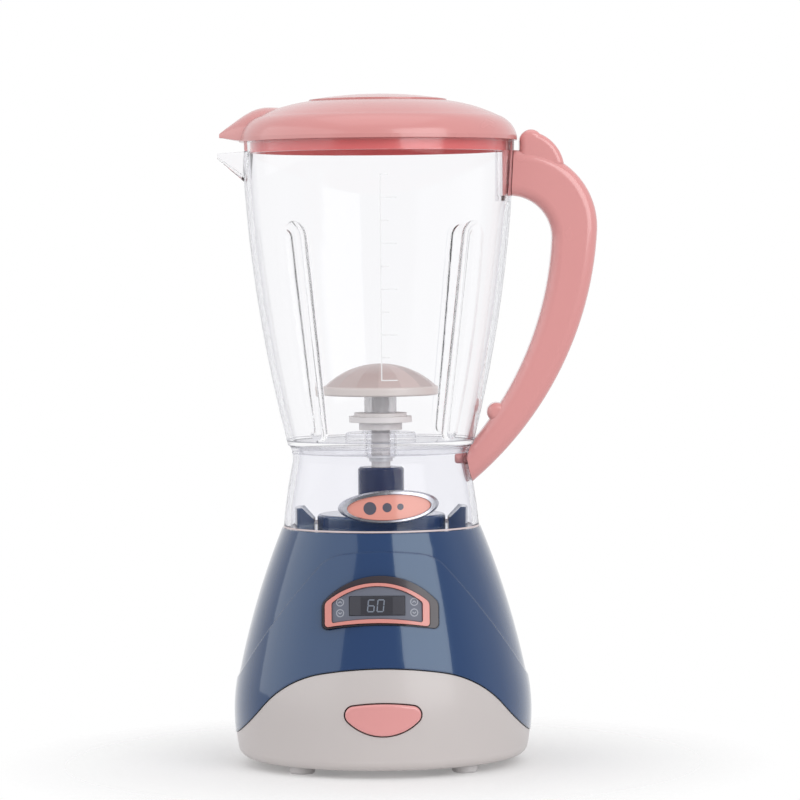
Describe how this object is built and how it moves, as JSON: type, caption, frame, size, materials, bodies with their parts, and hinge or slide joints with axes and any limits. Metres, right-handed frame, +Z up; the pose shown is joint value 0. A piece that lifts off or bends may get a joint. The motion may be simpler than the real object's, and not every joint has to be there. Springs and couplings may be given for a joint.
{
  "type": "toy blender",
  "caption": "Battery-driven play blender: bell base with push button and display panel, clear jug with handle and spout, spinning stirrer, lift-off lid.",
  "frame": {"origin": "where the drive axis meets the table, under the feet", "axes": "+Z up along the drive axis; -Y out of the front, where the control panel and button are; +X towards the handle, -X towards the spout"},
  "size_m": [0.0963, 0.0761, 0.17],
  "materials": {
    "navy_plastic": "glossy injection-moulded shell",
    "grey_plastic": "satin light grey shell",
    "door_plastic": "satin light grey door",
    "pink_plastic": "glossy coral pink",
    "panel_pink": "glossy coral pink frame",
    "badge_coral": "glossy coral inlay, blank",
    "badge_grey": "grey rim with a soft shine",
    "graphite_plastic": "dark graphite surround",
    "panel_grey": "satin blue-grey face with printed rings",
    "window_dark": "dark display window",
    "clear_plastic": "clear moulded plastic",
    "spacer_clear": "frosted clear plastic",
    "blade_plastic": "pale pinkish grey, satin shine",
    "shaft_plastic": "pale grey, satin",
    "bush_plastic": "white bearing plastic",
    "cup_plastic": "dark blue-grey plastic",
    "steel": "bright drawn steel",
    "can_steel": "plated steel can",
    "inner_plastic": "plain moulded plastic",
    "switch_black": "black plastic",
    "board_brown": "bare circuit board",
    "contact_nickel": "nickel-plated strip",
    "cell_jacket": "plain printed jacket with a bare pole",
    "rubber_grey": "soft grey rubber"
  },
  "bodies": {
    "base": {"upper_housing": "navy_plastic", "lower_housing": "grey_plastic", "battery_door": "door_plastic", "battery_door_screw": "steel", "housing_screws": "steel", "feet": "rubber_grey", "batteries": "cell_jacket", "battery_contacts": "contact_nickel", "button_spring": "steel", "switch_body": "switch_black", "switch_board": "board_brown", "panel_bezel": "graphite_plastic", "panel_frame": "panel_pink", "display_panel": "panel_grey", "display_window": "window_dark", "motor_can": "can_steel", "motor_end_cap": "inner_plastic", "motor_bracket": "inner_plastic", "bracket_screws": "steel"},
    "drive": {"motor_shaft": "steel", "drive_cup": "cup_plastic"},
    "button": {"push_button": "pink_plastic", "switch_plunger": "bush_plastic"},
    "jug": {"jug_collar": "clear_plastic", "jar": "clear_plastic", "handle": "pink_plastic", "badge_rim": "badge_grey", "badge_insert": "badge_coral", "shaft_bush": "bush_plastic"},
    "blade": {"blade_shaft": "shaft_plastic", "shaft_clip": "steel", "blade_pin": "steel", "blade_spacer": "spacer_clear", "blade": "blade_plastic"},
    "lid": {"lid": "pink_plastic", "lid_cap": "pink_plastic"}
  },
  "joints": [
    {"name": "drive_spin", "type": "hinge", "parent": "base", "child": "drive", "pos_m": [0, 0, 0.0638], "axis": [0, 0, 1], "continuous": true},
    {"name": "button_press", "type": "slide", "parent": "base", "child": "button", "axis": [0, 1, 0], "range_m": [0, 0.0015], "stiffness_N_per_m": 400, "springref_m": -0.0015, "deforming": ["button_spring"]},
    {"name": "jug_lift", "type": "slide", "parent": "base", "child": "jug", "axis": [0, 0, 1], "range_m": [0, 0.03]},
    {"name": "blade_spin", "type": "hinge", "parent": "jug", "child": "blade", "pos_m": [0, 0, 0.0838], "axis": [0, 0, 1], "continuous": true},
    {"name": "lid_lift", "type": "slide", "parent": "jug", "child": "lid", "axis": [0, 0, 1], "range_m": [0, 0.03]}
  ],
  "couplings": [
    {"joint": "blade_spin", "follows": "drive_spin", "ratio": 1}
  ]
}
